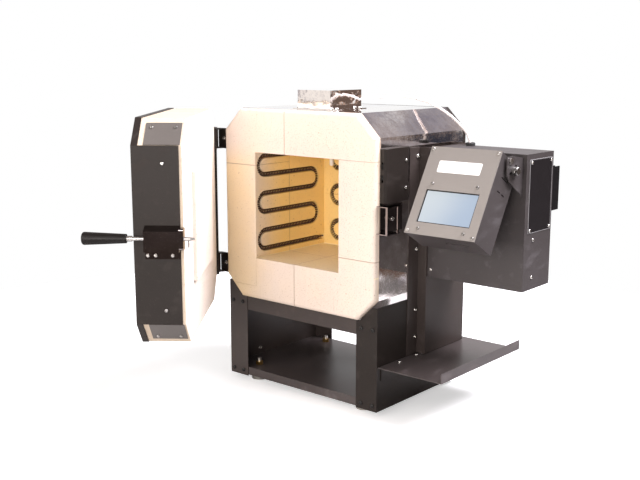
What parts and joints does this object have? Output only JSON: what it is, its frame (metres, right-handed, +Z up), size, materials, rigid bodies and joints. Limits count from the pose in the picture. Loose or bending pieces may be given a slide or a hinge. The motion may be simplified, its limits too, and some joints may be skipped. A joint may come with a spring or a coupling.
{
  "type": "sintering kiln",
  "caption": "Small front-loading firebrick kiln on a steel stand, with a side-hinged brick door, twist latch, side shelf and a tilting touch-screen controller.",
  "frame": {"origin": "bottom centre of the bounding box at rest, on the surface that the feet stand on", "axes": "+X to the kiln's right, +Y to its back, +Z up"},
  "size_m": [0.638, 0.6858, 0.562],
  "materials": {
    "firebrick": "rough, porous, cream white",
    "polished_steel": "mirror polished stainless",
    "black_sheet": "satin black powder coat",
    "grey_sheet": "fine texture grey powder coat",
    "steel": "bright zinc",
    "foot": "grey moulded pad on a stud",
    "element": "oxidised resistance wire",
    "brass": "turned",
    "ceramic": "fine fired alumina",
    "lead": "white braided sleeve",
    "rubber": "matt",
    "label": "bare black plate",
    "heat_sink": "black anodised",
    "black_plastic": "moulded",
    "transformer": "laminated core with taped winding",
    "blanket": "ceramic fibre",
    "grip": "satin black",
    "front_plate": "brushed and clear coated",
    "display": "lit touch screen",
    "board": "fibreglass board"
  },
  "bodies": {
    "kiln": {"front_bricks": "firebrick", "side_bricks": "firebrick", "roof_brick": "firebrick", "hearth_brick": "firebrick", "back_bricks": "firebrick", "jacket_lower": "polished_steel", "jacket_upper": "polished_steel", "top_box_cover": "polished_steel", "keeper": "polished_steel", "stand_left_side": "black_sheet", "stand_right_side": "black_sheet", "stand_rails": "black_sheet", "stand_floor": "black_sheet", "side_shelf": "black_sheet", "shelf_angle": "black_sheet", "riser_channel": "black_sheet", "rear_cover": "black_sheet", "switch_cover": "black_sheet", "hinge_brackets": "black_sheet", "power_box_shell": "grey_sheet", "power_box_cover": "grey_sheet", "tilt_bracket": "grey_sheet", "body_screws": "steel", "hinge_pins": "steel", "element_left": "element", "element_right": "element", "element_back": "element", "element_terminals": "brass", "foot_nuts": "brass", "thermocouple_sheath": "ceramic", "thermocouple_block": "ceramic", "thermocouple_lead": "lead", "lead_grommet": "rubber", "label_plate": "label", "heat_sink": "heat_sink", "solid_state_relay": "black_plastic", "terminal_strip": "black_plastic", "cord_gland": "black_plastic", "door_switch": "black_plastic", "transformer": "transformer"},
    "door": {"door_skin": "black_sheet", "door_bricks": "firebrick", "door_blanket": "blanket", "door_corner_plates": "black_sheet", "door_knuckles": "black_sheet", "latch_housing": "polished_steel", "door_screws": "steel"},
    "latch": {"latch_rod": "steel", "latch_grip": "grip"},
    "controller": {"controller_case": "grey_sheet", "controller_front_plate": "front_plate", "display_module": "display", "circuit_board": "board", "controller_screws": "steel"},
    "lock_knob": {"lock_knob": "steel"},
    "foot_front_left": {"foot_front_left": "foot"},
    "foot_front_right": {"foot_front_right": "foot"},
    "foot_rear_left": {"foot_rear_left": "foot"},
    "foot_rear_right": {"foot_rear_right": "foot"}
  },
  "joints": [
    {"name": "door_hinge", "type": "hinge", "parent": "kiln", "child": "door", "pos_m": [-0.27239, 0.06543, 0.349], "axis": [0, 0, 1], "range_deg": [-128.5, 51.48]},
    {"name": "latch_turn", "type": "hinge", "parent": "door", "child": "latch", "pos_m": [-0.02755, -0.24007, 0.3475], "axis": [-0.7824, -0.6228, 0], "range_deg": [0, 90]},
    {"name": "controller_tilt", "type": "hinge", "parent": "kiln", "child": "controller", "pos_m": [0.23911, 0.15468, 0.4577], "axis": [1, 0, 0], "range_deg": [-30, 25]},
    {"name": "lock_knob_turn", "type": "hinge", "parent": "controller", "child": "lock_knob", "pos_m": [0.23911, 0.16569, 0.44101], "axis": [1, 0, 0], "continuous": true},
    {"name": "foot_front_left_level", "type": "slide", "parent": "kiln", "child": "foot_front_left", "axis": [0, 0, 1], "range_m": [-0.004, 0.006]},
    {"name": "foot_front_right_level", "type": "slide", "parent": "kiln", "child": "foot_front_right", "axis": [0, 0, 1], "range_m": [-0.004, 0.006]},
    {"name": "foot_rear_left_level", "type": "slide", "parent": "kiln", "child": "foot_rear_left", "axis": [0, 0, 1], "range_m": [-0.004, 0.006]},
    {"name": "foot_rear_right_level", "type": "slide", "parent": "kiln", "child": "foot_rear_right", "axis": [0, 0, 1], "range_m": [-0.004, 0.006]}
  ]
}
